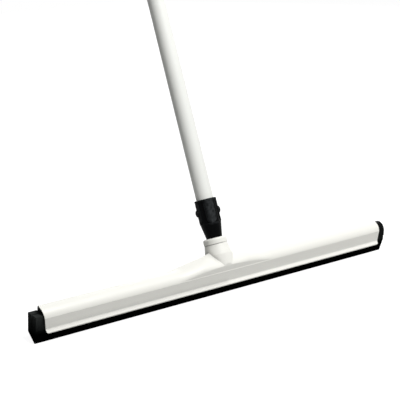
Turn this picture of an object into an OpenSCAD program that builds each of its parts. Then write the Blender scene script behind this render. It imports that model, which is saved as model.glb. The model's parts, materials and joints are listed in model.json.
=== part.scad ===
// Floor squeegee: a long moulded frame holding a slide-in cassette with two
// wedge-cut foam strips, and a screw-in handle on a leaning central socket.
// Millimetres. X runs along the blade, +Z is up, and the handle leans towards +Y.
// The origin is the middle of the wiping edge, on the floor. The frame and the handle
// are symmetrical about the plane y = hood_y, a little behind that edge.

/* [Blade cassette] */
// Length of the foam strips, end to end
blade_len = 613; // [480:1:760]
// How far the strips stand out of the frame's lip at each end
overhang = 15; // [8:0.5:24]
// How much shorter the strips are cut along their top, at each end
end_slant = 1.8; // [0:0.1:3]
// Thickness of one foam strip
strip_t = 9.9; // [8.5:0.1:11]
// Height of the long bevel on the front strip
front_bevel = 23; // [16:0.5:25]
// Height of the shallow bevel under the rear strip
rear_bevel = 11.6; // [8:0.2:14]
// Width of the flat along the wiping edge
edge_w = 1.2; // [0.8:0.1:2]
// Distance of the wiping edge in front of the frame's middle plane
edge_y = 2.8; // [1.5:0.1:4]
// Thickness of the carrier's middle web
web_t = 2.6; // [2:0.1:4]
// Thickness of the carrier's side legs
leg_t = 1.0; // [0.8:0.1:1.6]
// Number of cross pins that hold the strips in the carrier
pin_count = 8; // [4:2:12]

/* [Frame] */
// Height of the frame's ridge above the floor
ridge_h = 49.4; // [47.5:0.1:54]
// Wall of the rounded hood over the carrier
hood_wall = 2.3; // [1.8:0.1:3.6]
// Wall of the narrow waist below the hood
waist_wall = 1.3; // [1.2:0.1:1.9]
// Height of the waist above the floor
waist_h = 20.8; // [20:0.1:23]
// Height of the lip's lower edge above the floor
lip_h = 15; // [13.6:0.1:15.6]
// How far the lip flares out from the waist
lip_flare = 2.7; // [1.2:0.1:3.2]
// How far the hood reaches past the lip at each end
end_rake = 3.2; // [1:0.2:6]
// Radius of the lip's rounded lower corners at each end
corner_r = 4; // [2:0.2:6]
// Depth of the lead-in cone inside each end
lead_in = 4.5; // [2:0.1:6]

/* [Mounds and socket] */
// Distance from the middle to each foot of the mounds
mound_reach = 79; // [70:0.5:120]
// Rise of the mounds' upright walls at the middle
mound_rise = 13.8; // [10:0.2:18]
// Height of the mounds' round crest over those walls
crest_rise = 17; // [15:0.2:18]
// Slope of the mounds' sides, degrees
mound_slope = 60; // [56:1:66]
// Lean of the handle from the vertical, degrees
lean = 24.4; // [15:0.2:35]
// Outside radius of the socket
socket_r = 17; // [15.5:0.1:19]
// How far the socket's foot flares out to meet the mounds
socket_flare = 3; // [2:0.1:5]
// Distance along the handle from the hood's centre to the top of the collar
socket_top = 46.4; // [44:0.2:54]
// Height of the collar ring
collar_h = 9; // [6:0.1:10]
// Radius of the socket's bore
bore_r = 9.8; // [8.5:0.1:10.1]
// Length of the screwed stub inside the socket
stub_len = 26; // [20:0.5:27]

/* [Handle adapter] */
// Radius of the neck where the adapter leaves the socket
neck_r = 11.6; // [10.2:0.1:12.6]
// Height of the adapter's cone
cone_h = 21.8; // [15:0.2:30]
// Radius of the adapter's barrel over the pads
barrel_r = 15.9; // [15.4:0.1:17.5]
// Height of the adapter's barrel
barrel_h = 35; // [32:0.2:45]
// Width of one raised pad
pad_w = 14.6; // [11:0.2:17]
// Depth of the channels between the pads
pad_depth = 1.4; // [0.6:0.1:1.5]
// Turn of the adapter about the handle, set by where its thread ends, degrees
adapter_turn = -20; // [-45:1:45]

/* [Handle] */
// Outside diameter of the tube
tube_d = 25.4; // [24:0.1:26]
// Wall of the tube
tube_wall = 1.0; // [0.8:0.1:2]
// Length of the tube
tube_len = 1290; // [900:10:1500]
// Radius of the hole for hanging the handle up
hang_r = 5; // [4:0.1:6]

/* [Buttons] */
// Radius of a lock button
button_r = 5.15; // [4.4:0.05:5.6]
// How far a button's dome stands out of its pad
button_proud = 2.8; // [2.2:0.1:3.4]

/* [Hidden] */
$fn = 96;
gap = 0.3;
slide_gap = 0.1;
joint_gap = 0.05;
// Length of a cut that only has to reach past the part
big = 400;

hood_y = edge_y;
frame_len = blade_len - 2 * overhang;
web_half = web_t / 2;
strip_half = web_half + strip_t;
carrier_half = strip_half + leg_t;
waist_in = strip_half + gap;
hood_in = carrier_half + gap;
hood_r = hood_in + hood_wall;
hood_z = ridge_h - hood_r;
waist_out = waist_in + waist_wall;
lip_out = waist_out + lip_flare;
lip_edge = 1.5;
lip_chamfer = 0.67;
rake_angle = atan(end_rake / (ridge_h - lip_h));

// The hood's round ends in a fine step, and a concave round joins flank and lip at the waist
crease_rise = 1.7;
crease_step = 0.1;
crease_z = hood_z + crease_rise;
crease_out = sqrt(pow(hood_r, 2) - pow(crease_rise, 2)) - crease_step;
waist_r = 4;
waist_bite = 0.05;
waist_point = [waist_out, waist_h];
flank_way = unit([crease_out, crease_z] - waist_point);
lip_way = unit([lip_out, lip_h + lip_edge] - waist_point);
waist_half_angle = acos(flank_way * lip_way) / 2;
waist_run = waist_r / tan(waist_half_angle);
waist_centre = waist_point + unit(flank_way + lip_way) * waist_r / sin(waist_half_angle);

// The carrier's legs hang on an inside ledge of the frame. It stands out at the right end,
// where it is gripped, and stops inside the left end
ledge_drop = 7.6;
ledge_z = hood_z - ledge_drop;
carrier_inset = 1;
carrier_len = blade_len / 2 + frame_len / 2 - carrier_inset;
carrier_shift = (blade_len - carrier_len) / 2;
lead_angle = 18;
lead_grow = lead_in * tan(lead_angle);
shoulder_wall = 1.2;
slot_top = hood_z + sqrt(pow(carrier_half, 2) - pow(strip_half, 2)) - shoulder_wall;
web_drop = 5;
web_bottom = ledge_z - web_drop;
pin_r = 2;
pin_z = (ledge_z + slot_top) / 2;
pin_half = carrier_half - slide_gap;
pin_margin = 45;
pin_pitch = (blade_len - 2 * pin_margin) / (pin_count - 1);

// The mounds are slightly slimmer than the hood at its crease, so a fine ledge runs along them
mound_inset = 0.2;
mound_half = crease_out - mound_inset;
mound_angle = atan(mound_rise / mound_reach);
mound_over = 20;
crest_z = (crest_rise - mound_half * sin(mound_slope)) / (1 - cos(mound_slope));
crest_r = crest_rise - crest_z;
crest_bite = 0.05;
crest_touch = [crest_r * sin(mound_slope), crest_z + crest_r * cos(mound_slope)];
// The socket's foot stands this far out of the mounds' front
foot_proud = 0.1;

// The socket's foot tapers down into the back of the hood
foot_low = -6;
foot_r = 8;
flare_low = 22;
front_low = -5;
flare_r = socket_r + socket_flare;
collar_proud = 0.4;
collar_r = socket_r + collar_proud;
collar_seat = socket_top - collar_h;
collar_round = 3.2;
groove = 0.6;
spigot_wall = 3.7;
spigot_r = bore_r + spigot_wall;
washer_t = 1.6;
washer_w = 2.2;
washer_r = bore_r + washer_w;
stub_end_gap = 1;
bore_low = socket_top - stub_len - stub_end_gap;

stub_r = bore_r - slide_gap;
stub_low = socket_top - stub_len;
stub_core_r = 6;
// The stub has plain lands at both ends, and between them the root of its thread
land_h = 3;
thread_depth = 1.1;
thread_root_r = stub_r - thread_depth;
barrel_low = socket_top + cone_h;
barrel_high = barrel_low + barrel_h;
channel_r = barrel_r - pad_depth;
rim_h = 2.4;
rim_r = barrel_r - pad_depth / 3;
tube_r = tube_d / 2;
tube_in = tube_r - tube_wall;
seat_rise = 4.2;
tube_low = barrel_low + seat_rise;
tube_high = tube_low + tube_len;
seat_t = 6;
core_top = tube_low - seat_t;
pad_turns = [0, 90, 180, 270];

button_drop = 18;
button_s = barrel_high - button_drop;
button_hole_r = button_r + slide_gap;
button_top = barrel_r + button_proud;
dome_h = 1.9;
dome_r = (pow(button_r, 2) + pow(dome_h, 2)) / (2 * dome_h);
flange_w = 1.2;
flange_t = 1.2;
flange_r = button_r + flange_w;
flange_out = sqrt(pow(tube_in, 2) - pow(flange_r, 2)) - gap;
flange_in = flange_out - flange_t;

// The spring's legs end under the button flanges and meet in a fold above them
spring_t = 0.8;
spring_w = 8;
spring_len = 32;
fold_half = 4.2;
fold_rise = 2.4;
spread_half = flange_in - spring_t;
spring_fold = button_s + spring_len;
leg_run = spring_len + flange_r;

cap_skirt = 32;
cap_wall = 1.9;
cap_r = tube_r + cap_wall;
cap_dome = 12;
cap_top_r = 6;
plug_len = 24;
lug_t = 9;
lug_r = 11;
lug_rise = 22;
lug_s = tube_high + lug_rise;

white = [0.95, 0.95, 0.94];
foam_black = [0.06, 0.06, 0.065];
plastic_black = [0.12, 0.13, 0.135];
tube_grey = [0.88, 0.89, 0.86];
steel = [0.7, 0.71, 0.72];

function unit(v) = v / norm(v);

// Stretches a section along X; its 2D origin is the foot of the frame's middle plane
module along_blade(length, shift = 0) {
    translate([shift, hood_y, 0])
        rotate([90, 0, 90])
            linear_extrude(height = length, center = true)
                children();
}

// Stands children on the handle's axis, s along it from the centre of the hood
module on_handle(s = 0) {
    translate([0, hood_y, hood_z])
        rotate([-lean, 0, 0])
            translate([0, 0, s])
                children();
}

// Points children outwards from the handle's axis, through the buttons
module on_button(side) {
    on_handle(button_s)
        rotate([0, 0, adapter_turn + (side > 0 ? 0 : 180)])
            rotate([0, 90, 0])
                children();
}

module ring(outer, inner, height) {
    difference() {
        cylinder(r = outer, h = height);
        translate([0, 0, -1])
            cylinder(r = inner, h = height + 2);
    }
}

// Half of the outline from inside the hood: crease, flank, waist before it is rounded, and lip
function skirt(side) = [for (p = [
    [crease_out / 4, hood_z + hood_r / 2],
    [crease_out, crease_z],
    waist_point + flank_way * waist_run,
    waist_point + lip_way * waist_run,
    [lip_out, lip_h + lip_edge],
    [lip_out - lip_chamfer, lip_h]
]) [side * p[0], p[1]]];

// Outside of the frame: round hood down to its crease, drawn-in waist and flared lip
module frame_outside() {
    intersection() {
        translate([0, hood_z])
            circle(r = hood_r);
        translate([-hood_r, crease_z])
            square(2 * hood_r);
    }
    difference() {
        polygon(concat(skirt(-1), [for (i = [5 : -1 : 0]) skirt(1)[i]]));
        for (side = [-1, 1])
            translate([side * waist_centre[0], waist_centre[1]])
                circle(r = waist_r + waist_bite);
    }
}

// Inside of the frame: wide under the hood, narrower below the ledge
module frame_channel() {
    translate([0, hood_z])
        circle(r = hood_in);
    translate([-hood_in, ledge_z])
        square([2 * hood_in, hood_z - ledge_z]);
    translate([-waist_in, 0])
        square([2 * waist_in, hood_z]);
}

// Section of a mound over its upright walls: two slopes under a round crest
module mound_section() {
    polygon([
        [-mound_half, -mound_rise],
        [mound_half, -mound_rise],
        [mound_half, 0],
        crest_touch,
        [-crest_touch[0], crest_touch[1]],
        [-mound_half, 0]
    ]);
    translate([0, crest_z])
        circle(r = crest_r + crest_bite);
}

// Saddle that climbs from both sides to the socket
module mounds() {
    translate([0, hood_y, hood_z])
        for (side = [0, 1])
            mirror([side, 0, 0])
                intersection() {
                    translate([0, 0, mound_rise])
                        rotate([0, mound_angle, 0])
                            translate([-mound_over, 0, 0])
                                rotate([90, 0, 90])
                                    linear_extrude(height = mound_reach + 2 * mound_over)
                                        mound_section();
                    translate([0, -big / 2, 0])
                        cube([big, big, big]);
                }
}

// Leaning socket: drawn-in foot behind, full round foot in front, cut flush with the mounds
module socket() {
    intersection() {
        on_handle() {
            translate([0, 0, foot_low])
                cylinder(r1 = foot_r, r2 = flare_r, h = flare_low - foot_low);
            intersection() {
                translate([0, 0, front_low])
                    cylinder(r = flare_r, h = flare_low - front_low);
                translate([-big / 2, -big, -big / 2])
                    cube([big, big, big]);
            }
            translate([0, 0, flare_low])
                cylinder(r1 = flare_r, r2 = socket_r, h = collar_seat - groove - flare_low);
            translate([0, 0, collar_seat - groove])
                cylinder(r1 = socket_r, r2 = socket_r - groove, h = groove);
            cylinder(r = spigot_r, h = socket_top);
        }
        translate([-big / 2, hood_y - mound_half - foot_proud, 0])
            cube([big, big, big]);
    }
}

// Takes off the right end: raked, so the hood reaches past the lip, with round lower corners
module end_cut() {
    end_x = frame_len / 2;
    centre_x = end_x + corner_r * (tan(rake_angle) - 1 / cos(rake_angle));
    rotate([90, 0, 0])
        linear_extrude(height = big, center = true) {
            translate([end_x, lip_h])
                rotate(-rake_angle)
                    translate([0, -big / 2])
                        square(big);
            difference() {
                translate([centre_x, lip_h - 1])
                    square([2 * corner_r, corner_r * (1 - sin(rake_angle)) + 1]);
                translate([centre_x, lip_h + corner_r])
                    circle(r = corner_r);
            }
        }
}

// Widens the right mouth of the channel, so the cassette starts easily
module mouth() {
    translate([frame_len / 2 + end_rake - lead_in, hood_y, hood_z])
        rotate([0, 90, 0])
            cylinder(r1 = hood_in, r2 = hood_in + lead_grow, h = lead_in);
}

module frame_shell() {
    difference() {
        union() {
            along_blade(frame_len + 4 * end_rake)
                frame_outside();
            mounds();
            socket();
        }
        along_blade(blade_len + big)
            frame_channel();
        for (side = [0, 1])
            mirror([side, 0, 0]) {
                end_cut();
                mouth();
            }
        on_handle(bore_low)
            cylinder(r = bore_r, h = big);
        on_handle(socket_top - washer_t)
            cylinder(r = washer_r + joint_gap, h = big);
    }
}

module frame() {
    color(white)
        frame_shell();
}

module collar_ring() {
    color(white)
        on_handle(collar_seat)
            rotate_extrude() {
                translate([spigot_r + joint_gap, groove])
                    square([collar_r - spigot_r - joint_gap, collar_h - groove - collar_round]);
                polygon([
                    [spigot_r + joint_gap, 0],
                    [collar_r - groove, 0],
                    [collar_r, groove],
                    [spigot_r + joint_gap, groove]
                ]);
                translate([spigot_r + joint_gap, collar_h - collar_round])
                    square([collar_r - spigot_r - joint_gap - collar_round, collar_round]);
                translate([collar_r - collar_round, collar_h - collar_round])
                    intersection() {
                        circle(r = collar_round);
                        square(collar_round);
                    }
            }
}

// Row of cross pins, or of the holes for them
module pin_row(length) {
    for (i = [0 : pin_count - 1])
        translate([pin_margin + i * pin_pitch - blade_len / 2, hood_y, pin_z])
            rotate([90, 0, 0])
                cylinder(r = pin_r, h = length, center = true);
}

// Carrier section: a round-topped block with two legs, slotted for both strips
module carrier_section() {
    difference() {
        union() {
            intersection() {
                translate([0, hood_z])
                    circle(r = carrier_half);
                translate([-carrier_half, hood_z])
                    square(2 * carrier_half);
            }
            translate([-carrier_half, ledge_z])
                square([2 * carrier_half, ledge_drop]);
        }
        translate([-strip_half, 0])
            square([2 * strip_half, slot_top]);
    }
    translate([-web_half, web_bottom])
        square([web_t, hood_z + carrier_half / 2 - web_bottom]);
}

module blade_carrier() {
    color(plastic_black)
        difference() {
            along_blade(carrier_len, carrier_shift)
                carrier_section();
            pin_row(big);
        }
}

// Both strips' shared outline: a long bevel in front, a shallow one behind
module strip_outline() {
    polygon([
        [-edge_y - edge_w / 2, 0],
        [-edge_y + edge_w / 2, 0],
        [strip_half, rear_bevel],
        [strip_half, slot_top],
        [-strip_half, slot_top],
        [-strip_half, front_bevel]
    ]);
}

// One foam strip: its half of the outline, relieved for the carrier's web
module foam_strip(side) {
    color(foam_black)
        difference() {
            along_blade(blade_len)
                difference() {
                    intersection() {
                        strip_outline();
                        translate([side > 0 ? 0 : -big, 0])
                            square([big, big]);
                    }
                    translate([-web_half, web_bottom])
                        square([web_t, big]);
                }
            pin_row(big);
            for (end = [0, 1])
                mirror([end, 0, 0])
                    translate([blade_len / 2, 0, 0])
                        rotate([0, -atan(end_slant / slot_top), 0])
                            translate([0, -big / 2, -big / 2])
                                cube([big, big, big]);
        }
}

module front_strip() {
    foam_strip(-1);
}

module rear_strip() {
    foam_strip(1);
}

module strip_pins() {
    color(steel)
        pin_row(2 * pin_half);
}

module neck_washer() {
    color(foam_black)
        on_handle(socket_top - washer_t)
            ring(washer_r, stub_r + joint_gap, washer_t);
}

// Outline of a raised pad, square at the rim and round at the cone
module pad_outline() {
    translate([-pad_w / 2, pad_w / 2])
        square([pad_w, barrel_h - pad_w / 2]);
    translate([0, pad_w / 2])
        circle(d = pad_w);
}

// Barrel with four raised pads, a plain rim above and a cone below
module adapter_outside() {
    translate([0, 0, stub_low])
        cylinder(r = thread_root_r, h = stub_len);
    for (low = [stub_low, socket_top - land_h])
        translate([0, 0, low])
            cylinder(r = stub_r, h = land_h);
    translate([0, 0, socket_top])
        cylinder(r1 = neck_r, r2 = rim_r, h = cone_h);
    translate([0, 0, barrel_low])
        cylinder(r = channel_r, h = barrel_h);
    translate([0, 0, barrel_high - rim_h])
        cylinder(r = rim_r, h = rim_h);
    intersection() {
        translate([0, 0, barrel_low])
            cylinder(r = barrel_r, h = barrel_h);
        for (turn = pad_turns)
            rotate([0, 0, adapter_turn + turn])
                translate([0, 0, barrel_low])
                    rotate([90, 0, 90])
                        linear_extrude(height = 2 * barrel_r)
                            pad_outline();
    }
}

module handle_adapter() {
    color(plastic_black)
        difference() {
            on_handle()
                adapter_outside();
            on_handle(tube_low)
                cylinder(r = tube_r + joint_gap, h = big);
            on_handle(bore_low)
                cylinder(r = stub_core_r, h = core_top - bore_low);
            for (side = [-1, 1])
                on_button(side)
                    cylinder(r = button_hole_r, h = big);
        }
}

// Domed button with a flange that stops it inside the tube
module lock_button(side) {
    color(foam_black)
        on_button(side) {
            intersection() {
                translate([0, 0, flange_in])
                    cylinder(r = button_r, h = button_top - flange_in);
                translate([0, 0, button_top - dome_r])
                    union() {
                        sphere(r = dome_r);
                        translate([0, 0, -button_top])
                            cylinder(r = button_r, h = button_top + dome_r - dome_h);
                    }
            }
            translate([0, 0, flange_in])
                cylinder(r = flange_r, h = flange_t);
        }
}

module left_button() {
    lock_button(-1);
}

module right_button() {
    lock_button(1);
}

// Flat outline of the folded spring, grown outwards to its outer face
module spring_outline(grow, run) {
    half = fold_half + grow;
    rise = fold_rise + grow;
    end = spread_half + grow;
    polygon([
        [end, -run],
        [half, 0],
        [half - rise, rise],
        [rise - half, rise],
        [-half, 0],
        [-end, -run]
    ]);
}

// Folded strip inside the tube that pushes both buttons outwards
module button_spring() {
    color(steel)
        on_handle(spring_fold)
            rotate([90, 0, adapter_turn])
                linear_extrude(height = spring_w, center = true)
                    difference() {
                        spring_outline(spring_t, leg_run);
                        spring_outline(0, leg_run + spring_t);
                    }
}

module handle_tube() {
    color(tube_grey)
        difference() {
            on_handle(tube_low)
                ring(tube_r, tube_in, tube_len);
            for (side = [-1, 1])
                on_button(side)
                    cylinder(r = button_hole_r, h = big);
        }
}

// Push-on end cap with a lug and a hole for a wall hook
module hang_cap() {
    color(plastic_black)
        difference() {
            on_handle(tube_high)
                union() {
                    translate([0, 0, -cap_skirt])
                        ring(cap_r, tube_r + joint_gap, cap_skirt);
                    translate([0, 0, -plug_len])
                        cylinder(r = tube_in - joint_gap, h = plug_len);
                    cylinder(r1 = cap_r, r2 = cap_top_r, h = cap_dome);
                    translate([-lug_t / 2, -lug_r, 0])
                        cube([lug_t, 2 * lug_r, lug_rise]);
                    translate([-lug_t / 2, 0, lug_rise])
                        rotate([0, 90, 0])
                            cylinder(r = lug_r, h = lug_t);
                }
            on_handle(lug_s)
                rotate([0, 90, 0])
                    cylinder(r = hang_r, h = big, center = true);
        }
}

frame();
collar_ring();
blade_carrier();
front_strip();
rear_strip();
strip_pins();
neck_washer();
handle_adapter();
left_button();
right_button();
button_spring();
handle_tube();
hang_cap();
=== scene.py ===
"""Floor squeegee: finishes, redrawn mounds, foam strips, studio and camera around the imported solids."""

import json
import math

import bmesh
import bpy
from mathutils import Matrix, Vector, noise


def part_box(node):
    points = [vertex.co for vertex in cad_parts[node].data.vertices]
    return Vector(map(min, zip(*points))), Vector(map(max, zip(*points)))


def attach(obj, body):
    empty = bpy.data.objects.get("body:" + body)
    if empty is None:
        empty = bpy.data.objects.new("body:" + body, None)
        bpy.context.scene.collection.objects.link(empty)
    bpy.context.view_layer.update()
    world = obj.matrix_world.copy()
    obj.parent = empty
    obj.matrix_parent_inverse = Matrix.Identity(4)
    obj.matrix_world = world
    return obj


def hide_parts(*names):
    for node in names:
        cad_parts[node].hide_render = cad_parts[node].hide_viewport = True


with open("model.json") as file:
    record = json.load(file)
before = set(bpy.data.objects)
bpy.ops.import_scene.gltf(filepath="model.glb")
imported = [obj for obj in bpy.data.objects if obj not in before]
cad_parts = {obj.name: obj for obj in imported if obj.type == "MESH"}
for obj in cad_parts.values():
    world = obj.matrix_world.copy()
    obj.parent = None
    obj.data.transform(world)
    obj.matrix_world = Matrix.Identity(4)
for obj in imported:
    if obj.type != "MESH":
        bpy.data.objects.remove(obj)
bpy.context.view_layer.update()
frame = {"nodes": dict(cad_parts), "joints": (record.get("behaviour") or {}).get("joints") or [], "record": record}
NODES = frame["nodes"]
JOINTS = {joint["name"]: joint for joint in frame["joints"]}
COUPLINGS = {coupling["joint"]: coupling for coupling in frame["record"]["behaviour"]["couplings"]}

# Camera: angles round the head's front, distance, and the point that it looks at
VIEW_TURN = math.radians(35.26)
VIEW_RISE = math.radians(17.97)
VIEW_DISTANCE = 1.689
AIM_RIGHT = -0.0333
AIM_UP = 0.1329
SENSOR_MM = 36.0
LENS_MM = 105.4

# Studio: a large soft light from the front and above, a weaker one behind, and a dim even surround
KEY_FROM = Vector((0.14, -0.46, 0.88))
KEY_DISTANCE = 2.6
KEY_SIZE = 1.2
KEY_WATTS = 66.0
BACK_FROM = Vector((0.70, 0.70, 0.40))
BACK_DISTANCE = 2.6
BACK_SIZE = 1.6
BACK_WATTS = 20.0
SURROUND = 0.17
FLOOR_SIZE = 5.0
FLOOR_GLOW = 0.88
FLOOR_TONE = 0.34

# Handle: its axis, from the joint that it turns about
HANDLE_FOOT = Vector(JOINTS["handle_turn"]["pos_m"])
HANDLE_AXIS = Vector(JOINTS["handle_turn"]["axis"]).normalized()
HANDLE_LEAN = math.atan2(HANDLE_AXIS.y, HANDLE_AXIS.z)

# Hood: the frame's round top, whose axis passes through the handle's foot
HOOD_Y = HANDLE_FOOT.y
HOOD_Z = HANDLE_FOOT.z
HOOD_RADIUS = 0.01475

# Foam strips: the wiping edge, both bevels, and the slot for the carrier's web
EDGE_HALF = 0.0006
REAR_BEVEL = 0.0136
FRONT_BEVEL = 0.0205
WEB_HALF = 0.0013
WEB_LOW = 0.022

# Ends of the strips: slants, a drawn-in left tip, and a left top that stands higher past the carrier
LEFT_SLANT = 0.0018
RIGHT_SLANT = 0.0002
LEFT_TIP = 0.0024
LEFT_RISE = 0.0018
CARRIER_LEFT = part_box("blade_carrier")[0].x

# Mesh of the strips: steps along and across, how deep and how close the dips lie, and what counts as on top
STRIP_STEP = 0.004
SECTION_STEP = 0.0015
DIP_DEPTH = 0.00025
DIPS_PER_METRE = 90.0
TOP_MARGIN = 1e-6

# Front wall of the saddle: it leans out from the flank's upper crease, and falls away along the blade
CREASE_OUT = 0.01435
CREASE_RISE = 0.0017
WALL_LOW = 0.0019
WALL_LEAN = 0.116
WALL_REACH = 0.090
WALL_RISE = 0.0113
WALL_BEND = 1.7

# Roof of the saddle: the ridge falls away from the socket, and the slopes round over further out
RIDGE_HIGH = 0.0285
RIDGE_FALL = 0.165
RIDGE_BACK = 0.0090
ROOF_BEND = 1.5
ROOF_BEND_OUT = 2.0
FOOT_BEND = 0.75
FOOT_BEND_OUT = 0.5
ROUND_FROM = 0.014
ROUND_TO = 0.040
REAR_SLOPE = math.tan(math.radians(65.0))
CREST_ROUND = 0.005
BLEND_ROUND = 0.002

# Fillet where the ridge meets the socket
FILLET_RISE = 0.0014
FILLET_FOOT = 0.0190
FILLET_WIDTH = 0.0090

# Mesh of the saddle: its ends, the bore that it leaves free, and the steps along, up, over and under it
SADDLE_END = 0.098
SADDLE_FLOOR = 0.0136
BORE_CLEAR = 0.012
FRONT_BLOCK = -0.008
SADDLE_STEP = 0.0015
WALL_STEPS = 6
ROOF_STEPS = 56
UNDER_STEP = 0.05
UNDER_END = -1.4
UNDER_SINE = 0.98

# Front of the socket: a round wall with a cone, which stops just behind the saddle's front wall
SOCKET_FOOT_RADIUS = 0.01998
SOCKET_TOP_RADIUS = 0.01698
SOCKET_CONE_LOW = 0.022
SOCKET_CONE_HIGH = 0.0368
SKIRT_LOW = 0.003
SKIRT_HIGH = 0.034
SKIRT_WALL = 0.002
SKIRT_GAP = 0.0001
SKIRT_FROM = math.radians(176.0)
SKIRT_TO = math.radians(364.0)
SKIRT_TURNS = 96
SKIRT_STEPS = 31

# Moulding: the rear of its left end is set back, and the solid's own mounds are found by their margins
END_DEPTH = 0.0047
LEFT_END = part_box("frame")[0].x + END_DEPTH
END_SET_BACK = 0.0045
SET_BACK_FROM = -0.004
SURFACE_MARGIN = 0.0001
MOUND_MARGIN = 0.02
SHARP_ANGLE = math.radians(28.0)

# Finishes: the side of the handle where painted shade darkens the white's inside corners and how far it reaches,
# the side where the adapter's pads carry a painted highlight, and the adapter's channels and pads
SHADE_SIDE = Vector((-0.8, -0.6, 0.0))
SHADE_REACH = 0.009
HIGHLIGHT_SIDE = Vector((-0.10, -0.90, 0.41))
CHANNEL_RADIUS = 0.0145
PAD_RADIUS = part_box("handle_adapter")[1].x
PAD_MARGIN = 0.0003

# Thread on the adapter's stub: its run along the handle, its section, and its pitch from the lift in a turn
THREAD_LOW = 0.0238
THREAD_HIGH = 0.0430
THREAD_PITCH = 2.0 * math.pi * COUPLINGS["handle_lift"]["ratio"]
THREAD_ROOT = 0.0085
THREAD_CREST = 0.0096
THREAD_FOOT_WIDTH = 0.0028
THREAD_CREST_WIDTH = 0.0012
THREAD_STEPS = 48
THREAD_FADE = 0.5
THREAD_LEAST = 0.1


class Finish:
    """One procedural material: a principled shader and the nodes that vary it."""

    def __init__(self, name, **sockets):
        self.material = bpy.data.materials.new(name)
        self.material.use_nodes = True
        self.nodes = self.material.node_tree.nodes
        self.links = self.material.node_tree.links
        self.shader = self.nodes["Principled BSDF"]
        self.place = self.nodes.new("ShaderNodeTexCoord").outputs["Object"]
        for socket, value in sockets.items():
            self.shader.inputs[socket.replace("_", " ")].default_value = value

    def feed(self, socket, value):
        """Links a node's output to the socket, or sets the socket to a plain value."""
        if isinstance(value, bpy.types.NodeSocket):
            self.links.new(value, socket)
        else:
            socket.default_value = value

    def add(self, kind, inputs, **settings):
        """Adds a node with its settings, and feeds its inputs by name or number."""
        node = self.nodes.new(kind)
        for name, value in settings.items():
            setattr(node, name, value)
        for socket, value in inputs.items():
            self.feed(node.inputs[socket], value)
        return node

    def vector(self, operation, first, second=None, output="Vector"):
        """One step of vector arithmetic."""
        inputs = {0: first} if second is None else {0: first, 1: second}
        return self.add("ShaderNodeVectorMath", inputs, operation=operation).outputs[output]

    def product(self, first, second):
        """Two values multiplied."""
        return self.add("ShaderNodeMath", {0: first, 1: second}, operation="MULTIPLY").outputs[0]

    def along_handle(self):
        """Object coordinates turned so that Z runs along the handle."""
        inputs = {"Vector": self.place, "Rotation": (HANDLE_LEAN, 0.0, 0.0)}
        return self.add("ShaderNodeMapping", inputs).outputs["Vector"]

    def round_handle(self):
        """Arm from the handle's axis, turned a quarter about it."""
        arm = self.vector("SUBTRACT", self.place, HANDLE_FOOT)
        return self.vector("CROSS_PRODUCT", arm, HANDLE_AXIS)

    def from_handle(self):
        """Distance from the handle's axis."""
        return self.vector("LENGTH", self.round_handle(), output="Value")

    def facing(self, direction):
        """How far a place round the handle faces that direction, from -1 to 1."""
        quarter = self.vector("NORMALIZE", self.round_handle())
        return self.vector("DOT_PRODUCT", quarter, direction.cross(HANDLE_AXIS).normalized(), "Value")

    def stretched(self, place, factors):
        """Coordinates multiplied by a factor on each axis."""
        return self.add("ShaderNodeMapping", {"Vector": place, "Scale": factors}).outputs["Vector"]

    def noise(self, scale, detail=3.0, place=None):
        """Cloudy noise, about 0.5 on average."""
        inputs = {"Vector": place or self.place, "Scale": scale, "Detail": detail}
        return self.add("ShaderNodeTexNoise", inputs).outputs["Fac"]

    def cells(self, scale):
        """Distance from the middle of the nearest cell."""
        inputs = {"Vector": self.place, "Scale": scale}
        return self.add("ShaderNodeTexVoronoi", inputs).outputs["Distance"]

    def spread(self, value, low, high, to_low, to_high):
        """Maps low..high to to_low..to_high, and holds the ends."""
        inputs = {"Value": value, "From Min": low, "From Max": high, "To Min": to_low, "To Max": to_high}
        return self.add("ShaderNodeMapRange", inputs).outputs["Result"]

    def blend(self, share, first, second):
        """Colour that goes from first to second with share."""
        mixed = self.add("ShaderNodeMix", {}, data_type="RGBA")
        self.feed(mixed.inputs[0], share)
        for socket, colour in ((mixed.inputs[6], first), (mixed.inputs[7], second)):
            self.feed(socket, colour if isinstance(colour, bpy.types.NodeSocket) else (*colour, 1.0))
        return mixed.outputs[2]

    def edges(self, radius):
        """Mask of the outside and inside edges, from how a rounded normal differs there."""
        rounded = self.add("ShaderNodeBevel", {"Radius": radius}, samples=4).outputs["Normal"]
        plain = self.nodes.new("ShaderNodeNewGeometry").outputs["Normal"]
        agreement = self.vector("DOT_PRODUCT", rounded, plain, "Value")
        return self.spread(agreement, 0.98, 0.80, 0.0, 1.0)

    def corners(self, reach):
        """Mask of the inside corners, where little of the sky is seen within that reach."""
        open_sky = self.add("ShaderNodeAmbientOcclusion", {"Distance": reach}, samples=8).outputs["AO"]
        return self.spread(open_sky, 0.76, 0.985, 1.0, 0.0)

    def relief(self, height, depth, under=None):
        """Adds a bump of that depth in metres, on top of an earlier one."""
        inputs = {"Height": height, "Distance": depth, "Strength": 1.0}
        bump = self.add("ShaderNodeBump", inputs)
        if under is not None:
            self.feed(bump.inputs["Normal"], under)
        return bump.outputs["Normal"]

    def use(self, colour, roughness, normal):
        """Feeds the shader, and gives the finished material."""
        self.feed(self.shader.inputs["Base Color"], colour)
        self.feed(self.shader.inputs["Roughness"], roughness)
        self.feed(self.shader.inputs["Normal"], normal)
        return self.material


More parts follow.
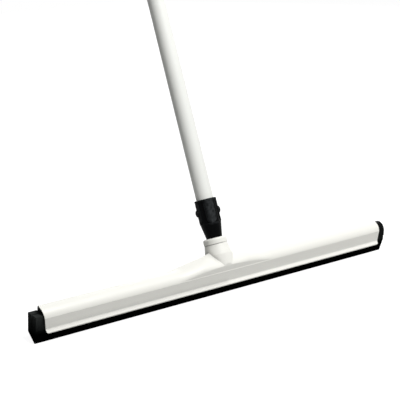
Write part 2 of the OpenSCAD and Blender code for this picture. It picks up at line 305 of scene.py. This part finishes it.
def white_plastic():
    """Injection-moulded white: soft flow waves, a faint skin, greyer edges, scuffs, and painted shade that darkens
    the inside corners, most on the left side.
    """
    finish = Finish("moulded_white", Specular_IOR_Level=0.35)
    flow = finish.noise(7.0, 2.0, finish.stretched(finish.place, (0.35, 1.0, 1.0)))
    tone = finish.blend(flow, (0.86, 0.855, 0.80), (0.905, 0.90, 0.845))
    worn = finish.blend(finish.edges(0.0009), tone, (0.82, 0.815, 0.755))
    scuffs = finish.spread(finish.noise(55.0, 6.0), 0.62, 0.78, 0.0, 0.06)
    scuffed = finish.blend(scuffs, worn, (0.74, 0.74, 0.71))
    # Painted shade: inside corners such as the socket's crease and the collar's groove turn grey, most on the side
    # away from the key light.
    shaded_side = finish.spread(finish.facing(SHADE_SIDE), 0.0, 0.9, 0.05, 0.8)
    painted_corner_shade = finish.product(finish.corners(SHADE_REACH), shaded_side)
    colour = finish.blend(painted_corner_shade, scuffed, (0.30, 0.30, 0.285))
    roughness = finish.spread(finish.noise(30.0), 0.3, 0.7, 0.34, 0.48)
    skin = finish.relief(finish.noise(900.0, 2.0), 0.00003)
    waves = finish.relief(flow, 0.0006, skin)
    return finish.use(colour, roughness, waves)


def foam_rubber():
    """Black cellular rubber: small open pores over a dull, blotchy skin, with painted light that makes it paler
    towards the top and painted shade that makes it darker low down.
    """
    finish = Finish("foam_rubber", Specular_IOR_Level=0.0)
    pores = finish.spread(finish.cells(1300.0), 0.0, 0.45, 0.0, 1.0)
    blotches = finish.noise(45.0, 4.0)
    # Painted light and shade: the skin is paler high up and nearly black low down, as though lit from above.
    height = finish.add("ShaderNodeSeparateXYZ", {"Vector": finish.place}).outputs["Z"]
    painted_shade_low = finish.blend(blotches, (0.0006, 0.0008, 0.0007), (0.0016, 0.0018, 0.0016))
    painted_light_top = finish.blend(blotches, (0.024, 0.027, 0.026), (0.046, 0.050, 0.048))
    skin = finish.blend(finish.spread(height, 0.014, 0.040, 0.0, 1.0), painted_shade_low, painted_light_top)
    colour = finish.blend(pores, (0.0005, 0.0005, 0.0005), skin)
    roughness = finish.spread(blotches, 0.3, 0.7, 0.75, 0.92)
    grain = finish.relief(finish.noise(2600.0, 2.0), 0.00006)
    return finish.use(colour, roughness, finish.relief(pores, 0.00016, grain))


def carrier_plastic():
    """Extruded black plastic with fine die lines along the blade."""
    finish = Finish("extruded_black", Specular_IOR_Level=0.02)
    lines = finish.noise(700.0, 3.0, finish.stretched(finish.place, (0.01, 1.0, 1.0)))
    tone = finish.blend(lines, (0.003, 0.0033, 0.0033), (0.007, 0.0075, 0.0075))
    colour = finish.blend(finish.edges(0.0005), tone, (0.012, 0.0125, 0.0125))
    roughness = finish.spread(finish.noise(60.0), 0.3, 0.7, 0.40, 0.58)
    return finish.use(colour, roughness, finish.relief(lines, 0.00008))


def adapter_plastic():
    """Moulded black plastic: polished deep channels painted almost black as shade, and pads with a spark texture
    that turns paler as a painted highlight on the side towards the key light.
    """
    finish = Finish("spark_black", Specular_IOR_Level=0.03)
    deepest = CHANNEL_RADIUS + PAD_MARGIN
    highest = PAD_RADIUS - PAD_MARGIN
    raised = finish.spread(finish.from_handle(), deepest, highest, 0.0, 1.0)
    mottle = finish.spread(finish.noise(230.0, 5.0), 0.34, 0.66, 0.0, 1.0)
    # Painted shade: the channels are almost black. Painted highlight: the pads turn paler where they face the key
    # light.
    deep = finish.blend(mottle, (0.0008, 0.0010, 0.0012), (0.0018, 0.0021, 0.0023))
    spark = finish.blend(mottle, (0.010, 0.011, 0.0115), (0.036, 0.039, 0.041))
    painted_highlight = finish.spread(finish.facing(HIGHLIGHT_SIDE), 0.78, 0.97, 0.18, 1.0)
    tone = finish.blend(finish.product(raised, painted_highlight), deep, spark)
    colour = finish.blend(finish.edges(0.0006), tone, (0.022, 0.024, 0.025))
    roughness = finish.spread(raised, 0.0, 1.0, 0.38, 0.55)
    return finish.use(colour, roughness, finish.relief(finish.noise(2400.0, 2.0), 0.00007))


def button_plastic():
    """Smooth black plastic, polished by fingers on the dome."""
    finish = Finish("button_black", Specular_IOR_Level=0.04)
    tone = finish.blend(finish.noise(150.0), (0.005, 0.0055, 0.006), (0.010, 0.0105, 0.011))
    colour = finish.blend(finish.edges(0.0004), tone, (0.022, 0.023, 0.024))
    roughness = finish.spread(finish.noise(300.0), 0.3, 0.7, 0.24, 0.38)
    return finish.use(colour, roughness, finish.relief(finish.noise(1800.0), 0.00002))


def coated_tube():
    """Pale coating on a drawn tube: faint orange peel and long rub marks."""
    finish = Finish("coated_tube", Specular_IOR_Level=0.2)
    along = finish.along_handle()
    rubs = finish.noise(160.0, 4.0, finish.stretched(along, (1.0, 1.0, 0.03)))
    tone = finish.blend(finish.noise(5.0, 2.0, along), (0.82, 0.83, 0.79), (0.87, 0.88, 0.84))
    colour = finish.blend(finish.spread(rubs, 0.60, 0.80, 0.0, 0.35), tone, (0.62, 0.63, 0.61))
    roughness = finish.spread(rubs, 0.3, 0.7, 0.30, 0.45)
    return finish.use(colour, roughness, finish.relief(finish.noise(650.0, 2.0), 0.00003))


def drawn_steel():
    """Bright steel with fine brush lines."""
    finish = Finish("drawn_steel", Metallic=1.0)
    lines = finish.noise(900.0, 3.0, finish.stretched(finish.place, (1.0, 0.03, 1.0)))
    colour = finish.blend(lines, (0.50, 0.51, 0.52), (0.66, 0.67, 0.68))
    roughness = finish.spread(lines, 0.3, 0.7, 0.22, 0.40)
    return finish.use(colour, roughness, finish.relief(lines, 0.00003))


def seal_rubber():
    """Moulded black rubber with a dusty bloom."""
    finish = Finish("seal_rubber", Specular_IOR_Level=0.35)
    bloom = finish.noise(220.0, 5.0)
    colour = finish.blend(bloom, (0.010, 0.010, 0.010), (0.030, 0.030, 0.029))
    roughness = finish.spread(bloom, 0.3, 0.7, 0.60, 0.80)
    return finish.use(colour, roughness, finish.relief(bloom, 0.00004))


def dress(finishes):
    """Gives every CAD node the finish of its slot in the record."""
    for part in frame["record"]["subparts"]:
        node = NODES[part["node"]]
        node.data.materials.clear()
        node.data.materials.append(finishes[part["material_slot"]])


def clamp(value):
    """The value, held between 0 and 1."""
    return min(max(value, 0.0), 1.0)


def between(first, second, share):
    """The value that lies that share of the way from first to second."""
    return first + (second - first) * share


def soft_max(first, second, width):
    """The larger of two values, rounded where they meet."""
    near = max(width - abs(first - second), 0.0) / width
    return max(first, second) + near * near * width / 4.0


def split(points, step):
    """Closed outline with extra points, so that no side is longer than step."""
    fine = []
    for start, end in zip(points, points[1:] + points[:1]):
        count = max(1, math.ceil((end - start).length / step))
        fine += [start.lerp(end, i / count) for i in range(count)]
    return fine


def skin_rings(mesh, rings):
    """Joins each ring to the next, and closes both ends."""
    for first, second in zip(rings, rings[1:]):
        for a in range(len(first)):
            b = (a + 1) % len(first)
            mesh.faces.new((first[a], first[b], second[b], second[a]))
    mesh.faces.new(list(reversed(rings[0])))
    mesh.faces.new(rings[-1])


def finish_piece(name, mesh, material, body):
    """Turns the mesh into an object that rides on a body."""
    data = bpy.data.meshes.new(name)
    mesh.to_mesh(data)
    mesh.free()
    data.materials.append(material)
    piece = bpy.data.objects.new(name, data)
    bpy.context.scene.collection.objects.link(piece)
    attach(piece, body)
    return piece


def close_sweep(name, mesh, rings, material, body):
    """Skins the rings into one closed piece that rides on a body."""
    skin_rings(mesh, rings)
    bmesh.ops.recalc_face_normals(mesh, faces=mesh.faces)
    return finish_piece(name, mesh, material, body)


def strip_section(node, side):
    """Outline of one foam strip in Y and Z: the front one carries the wiping edge."""
    low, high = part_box(node)
    outer = low.y if side < 0 else high.y
    web = HOOD_Y + side * WEB_HALF
    slope = REAR_BEVEL / (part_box("rear_strip")[1].y - EDGE_HALF)
    heel = Vector((HOOD_Y, slope * (HOOD_Y - EDGE_HALF)))
    inside = [Vector((HOOD_Y, WEB_LOW)), Vector((web, WEB_LOW)), Vector((web, high.z))]
    outline = [heel] + inside + [Vector((outer, high.z))]
    if side < 0:
        edge = [Vector((-EDGE_HALF, 0.0)), Vector((EDGE_HALF, 0.0))]
        return edge + outline + [Vector((outer, FRONT_BEVEL))]
    return outline + [Vector((outer, REAR_BEVEL))]


def end_inset(share, height, top):
    """How far a strip's end stands in at that height, at the left for a negative share."""
    if share < 0.0:
        return LEFT_SLANT * height / top + LEFT_TIP * max(1.0 - height / REAR_BEVEL, 0.0)
    return RIGHT_SLANT * height / top


def foam_strip(node, side, material):
    """Foam strip that stands for its CAD solid: knife-cut faces that dip in slightly here and there."""
    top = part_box(node)[1].z
    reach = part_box("front_strip")[1].x
    outline = split(strip_section(node, side), SECTION_STEP)
    middle = sum(outline, Vector((0.0, 0.0))) / len(outline)
    count = math.ceil(2.0 * reach / STRIP_STEP)
    mesh = bmesh.new()
    rings = []
    for i in range(count + 1):
        share = 2.0 * i / count - 1.0
        ring = []
        for point in outline:
            x = share * (reach - end_inset(share, point.y, top))
            place = Vector((x, point.x, point.y)) * DIPS_PER_METRE
            dip = DIP_DEPTH * (0.5 + 0.5 * noise.noise(place))
            cut = point + (middle - point).normalized() * dip
            height = max(cut.y, 0.0) if point.y > 0.0 else 0.0
            swell = LEFT_RISE if x < CARRIER_LEFT and point.y > top - TOP_MARGIN else 0.0
            ring.append(mesh.verts.new((x, cut.x, height + swell)))
        rings.append(ring)
    strip = close_sweep(node + "_foam", mesh, rings, material, "cassette")
    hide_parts(node)


def wall_out(rise):
    """How far the saddle's front wall stands out from the hood's axis at that rise."""
    return CREASE_OUT + WALL_LEAN * (rise - CREASE_RISE)


def wall_top(x):
    """How far the front wall's upper edge stands out, and how high it rises over the hood's axis."""
    rise = WALL_RISE * (1.0 - (abs(x) / WALL_REACH) ** WALL_BEND)
    return wall_out(max(rise, CREASE_RISE)), rise


def saddle_height(x, y):
    """Height of the saddle over the hood's axis: a roof with a round crest, sunk into the round hood."""
    out, rise = wall_top(x)
    ridge = RIDGE_HIGH - RIDGE_FALL * abs(x)
    away = clamp((abs(x) - ROUND_FROM) / (ROUND_TO - ROUND_FROM))
    roof_bend = between(ROOF_BEND, ROOF_BEND_OUT, away)
    foot_bend = between(FOOT_BEND, FOOT_BEND_OUT, away)
    to_ridge = clamp(1.0 - (y + out) / (RIDGE_BACK + out))
    climb = (1.0 - to_ridge ** roof_bend) ** foot_bend
    near = clamp(1.0 - (abs(x) - FILLET_FOOT) / FILLET_WIDTH)
    front = between(rise, ridge, climb) + FILLET_RISE * near * near * climb ** 4
    rear = ridge - (y - RIDGE_BACK) * REAR_SLOPE
    roof = -soft_max(-front, -rear, CREST_ROUND)
    hood = math.sqrt(max(HOOD_RADIUS ** 2 - y * y, 0.0))
    return soft_max(roof, hood, BLEND_ROUND)


def saddle_section(x, back):
    """Closed outline at x, from the foot of the front wall over the roof to back, and back under it."""
    out, rise = wall_top(x)
    top = max(rise, WALL_LOW)
    foot = wall_out(WALL_LOW)
    climbs = [i / WALL_STEPS for i in range(WALL_STEPS)]
    wall = [(between(-foot, -out, climb), between(WALL_LOW, top, climb)) for climb in climbs]
    turns = [math.pi / 2.0 * i / ROOF_STEPS for i in range(ROOF_STEPS + 1)]
    roof = [between(-out, back, 1.0 - math.cos(turn)) for turn in turns]
    start = math.asin(min(back / SADDLE_FLOOR, UNDER_SINE))
    count = math.ceil((start - UNDER_END) / UNDER_STEP)
    under = [start - i * UNDER_STEP for i in range(count)]
    outline = wall + [(y, saddle_height(x, y)) for y in roof]
    return outline + [(SADDLE_FLOOR * math.sin(a), SADDLE_FLOOR * math.cos(a)) for a in under]


def add_saddle(mesh):
    """Left and right mounds and the wall between them, as closed lofts that leave the bore free."""
    spans = ((-SADDLE_END, -BORE_CLEAR, CREASE_OUT), (BORE_CLEAR, SADDLE_END, CREASE_OUT),
             (-BORE_CLEAR, BORE_CLEAR, FRONT_BLOCK))
    for start, end, back in spans:
        count = math.ceil((end - start) / SADDLE_STEP)
        rings = []
        for i in range(count + 1):
            x = between(start, end, i / count)
            section = saddle_section(x, back)
            rings.append([mesh.verts.new((x, HOOD_Y + y, HOOD_Z + z)) for y, z in section])
        skin_rings(mesh, rings)


def socket_radius(along):
    """Outside radius of the socket's front, along the handle."""
    share = clamp((along - SOCKET_CONE_LOW) / (SOCKET_CONE_HIGH - SOCKET_CONE_LOW))
    return between(SOCKET_FOOT_RADIUS, SOCKET_TOP_RADIUS, share)


def add_socket_front(mesh):
    """Front half of the socket's wall, down to where it meets the saddle."""
    across = Vector((1.0, 0.0, 0.0))
    back = HANDLE_AXIS.cross(across)
    levels = [between(SKIRT_LOW, SKIRT_HIGH, k / SKIRT_STEPS) for k in range(SKIRT_STEPS + 1)]
    outline = [(along, 0.0) for along in levels] + [(along, SKIRT_WALL) for along in reversed(levels)]
    rings = []
    for i in range(SKIRT_TURNS + 1):
        angle = between(SKIRT_FROM, SKIRT_TO, i / SKIRT_TURNS)
        outward = across * math.cos(angle) + back * math.sin(angle)
        ring = []
        for along, depth in outline:
            spot = HANDLE_FOOT + HANDLE_AXIS * along + outward * (socket_radius(along) - depth)
            wall = HOOD_Y - wall_out(min(spot.z - HOOD_Z, WALL_RISE))
            spot.y = max(spot.y, wall + SKIRT_GAP + depth)
            ring.append(mesh.verts.new(spot))
        rings.append(ring)
    skin_rings(mesh, rings)


def stands_on_hood(centre):
    """True for a place outside both the hood's round and the socket: on the CAD solid's mounds."""
    arm = centre - HANDLE_FOOT
    along = arm.dot(HANDLE_AXIS)
    outside_hood = Vector((arm.y, arm.z)).length > HOOD_RADIUS + SURFACE_MARGIN
    outside_socket = (arm - HANDLE_AXIS * along).length > socket_radius(along) + SURFACE_MARGIN
    near_mounds = arm.z > CREASE_RISE and abs(arm.x) < SADDLE_END + MOUND_MARGIN
    return outside_hood and outside_socket and near_mounds


def set_back_left_end(mesh):
    """Moves the left end's face in, more and more towards the rear."""
    for vertex in mesh.verts:
        if vertex.co.x < LEFT_END:
            behind = (vertex.co.y - HOOD_Y - SET_BACK_FROM) / (HOOD_RADIUS - SET_BACK_FROM)
            vertex.co.x += END_SET_BACK * clamp(behind)


def moulded_frame(material):
    """The frame as its CAD solid makes it, with the mounds redrawn as the roof-like saddle."""
    mesh = bmesh.new()
    mesh.from_mesh(NODES["frame"].data)
    set_back_left_end(mesh)
    mounds = [face for face in mesh.faces if stands_on_hood(face.calc_center_median())]
    bmesh.ops.delete(mesh, geom=mounds, context="FACES")
    kept = set(mesh.faces)
    add_saddle(mesh)
    add_socket_front(mesh)
    bmesh.ops.recalc_face_normals(mesh, faces=[face for face in mesh.faces if face not in kept])
    for face in mesh.faces:
        face.smooth = True
        face.material_index = 0
    piece = finish_piece("frame_moulding", mesh, material, "head")
    piece.data.set_sharp_from_angle(angle=SHARP_ANGLE)
    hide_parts("frame")


def stub_thread(material):
    """Helical ridge on the stub's root, which runs out at both ends."""
    side = HANDLE_AXIS.orthogonal().normalized()
    other = HANDLE_AXIS.cross(side)
    turns = (THREAD_HIGH - THREAD_LOW) / THREAD_PITCH
    count = math.ceil(turns * THREAD_STEPS)
    mesh = bmesh.new()
    rings = []
    for i in range(count + 1):
        turn = turns * i / count
        angle = 2.0 * math.pi * turn
        outward = side * math.cos(angle) + other * math.sin(angle)
        middle = HANDLE_FOOT + HANDLE_AXIS * (THREAD_LOW + THREAD_PITCH * turn)
        fade = min(1.0, turn / THREAD_FADE, (turns - turn) / THREAD_FADE)
        crest = between(THREAD_ROOT, THREAD_CREST, max(fade, THREAD_LEAST))
        corners = [(THREAD_ROOT, -THREAD_FOOT_WIDTH), (crest, -THREAD_CREST_WIDTH),
                   (crest, THREAD_CREST_WIDTH), (THREAD_ROOT, THREAD_FOOT_WIDTH)]
        rings.append([mesh.verts.new(middle + outward * r + HANDLE_AXIS * (w / 2.0)) for r, w in corners])
    close_sweep("stub_thread", mesh, rings, material, "handle")


def add_camera():
    """Camera at the photo's viewing angle, with its optical axis through the aim point."""
    right = Vector((math.cos(VIEW_TURN), -math.sin(VIEW_TURN), 0.0))
    flat = Vector((math.sin(VIEW_TURN), math.cos(VIEW_TURN), 0.0))
    ahead = flat * math.cos(VIEW_RISE) - Vector((0.0, 0.0, math.sin(VIEW_RISE)))
    up = right.cross(ahead)
    lens = bpy.data.cameras.new("photo_camera")
    lens.lens = LENS_MM
    lens.sensor_width = SENSOR_MM
    camera = bpy.data.objects.new("photo_camera", lens)
    turn = Matrix((right, up, -ahead)).transposed().to_4x4()
    place = right * AIM_RIGHT + up * AIM_UP - ahead * VIEW_DISTANCE
    camera.matrix_world = Matrix.Translation(place) @ turn
    bpy.context.scene.collection.objects.link(camera)
    bpy.context.scene.camera = camera


def add_softbox(name, direction, distance, size, watts):
    """Square area light that looks at the head."""
    light = bpy.data.lights.new(name, "AREA")
    light.size = size
    light.energy = watts
    lamp = bpy.data.objects.new(name, light)
    lamp.location = direction.normalized() * distance
    lamp.rotation_euler = direction.to_track_quat("Z", "Y").to_euler()
    bpy.context.scene.collection.objects.link(lamp)


def background_ray(tree):
    """1 for rays that show the background itself: seen directly, mirrored or through glass."""
    path = tree.nodes.new("ShaderNodeLightPath").outputs
    direct = tree.nodes.new("ShaderNodeMath")
    tree.links.new(path["Is Camera Ray"], direct.inputs[0])
    tree.links.new(path["Is Glossy Ray"], direct.inputs[1])
    whole = tree.nodes.new("ShaderNodeMath")
    whole.use_clamp = True
    tree.links.new(direct.outputs[0], whole.inputs[0])
    tree.links.new(path["Is Transmission Ray"], whole.inputs[1])
    return whole.outputs[0]


def glow_where_seen(tree, socket, dim, bright):
    """Feeds the strength socket with bright for background rays, and dim for all others."""
    strength = tree.nodes.new("ShaderNodeMapRange")
    strength.inputs["To Min"].default_value = dim
    strength.inputs["To Max"].default_value = bright
    tree.links.new(background_ray(tree), strength.inputs["Value"])
    tree.links.new(strength.outputs["Result"], socket)


def add_surround():
    """White where it is seen, dim and even to everything that it lights."""
    world = bpy.data.worlds.new("studio")
    bpy.context.scene.world = world
    world.use_nodes = True
    background = world.node_tree.nodes["Background"]
    background.inputs["Color"].default_value = (1.0, 1.0, 1.0, 1.0)
    glow_where_seen(world.node_tree, background.inputs["Strength"], SURROUND, 1.0)


def add_floor():
    """Pale floor that keeps the shadow, and glows where it is seen, so that it reads as white."""
    mesh = bpy.data.meshes.new("studio_floor")
    half = FLOOR_SIZE / 2
    corners = [(-half, -half, 0.0), (half, -half, 0.0), (half, half, 0.0), (-half, half, 0.0)]
    mesh.from_pydata(corners, [], [(0, 1, 2, 3)])
    floor = bpy.data.objects.new("studio_floor", mesh)
    bpy.context.scene.collection.objects.link(floor)
    material = bpy.data.materials.new("studio_floor")
    material.use_nodes = True
    shader = material.node_tree.nodes["Principled BSDF"]
    shader.inputs["Base Color"].default_value = (FLOOR_TONE, FLOOR_TONE, FLOOR_TONE, 1.0)
    shader.inputs["Roughness"].default_value = 0.9
    shader.inputs["Specular IOR Level"].default_value = 0.0
    shader.inputs["Emission Color"].default_value = (1.0, 1.0, 1.0, 1.0)
    glow_where_seen(material.node_tree, shader.inputs["Emission Strength"], 0.0, FLOOR_GLOW)
    mesh.materials.append(material)


FINISHES = {
    "white_plastic": white_plastic(),
    "carrier_plastic": carrier_plastic(),
    "foam_rubber": foam_rubber(),
    "steel": drawn_steel(),
    "seal_rubber": seal_rubber(),
    "adapter_plastic": adapter_plastic(),
    "button_plastic": button_plastic(),
    "coated_tube": coated_tube(),
}
dress(FINISHES)
moulded_frame(FINISHES["white_plastic"])
foam_strip("front_strip", -1, FINISHES["foam_rubber"])
foam_strip("rear_strip", 1, FINISHES["foam_rubber"])
stub_thread(FINISHES["adapter_plastic"])
add_camera()
add_softbox("key_light", KEY_FROM, KEY_DISTANCE, KEY_SIZE, KEY_WATTS)
add_softbox("back_light", BACK_FROM, BACK_DISTANCE, BACK_SIZE, BACK_WATTS)
add_surround()
add_floor()
bpy.context.scene.view_settings.view_transform = "Standard"
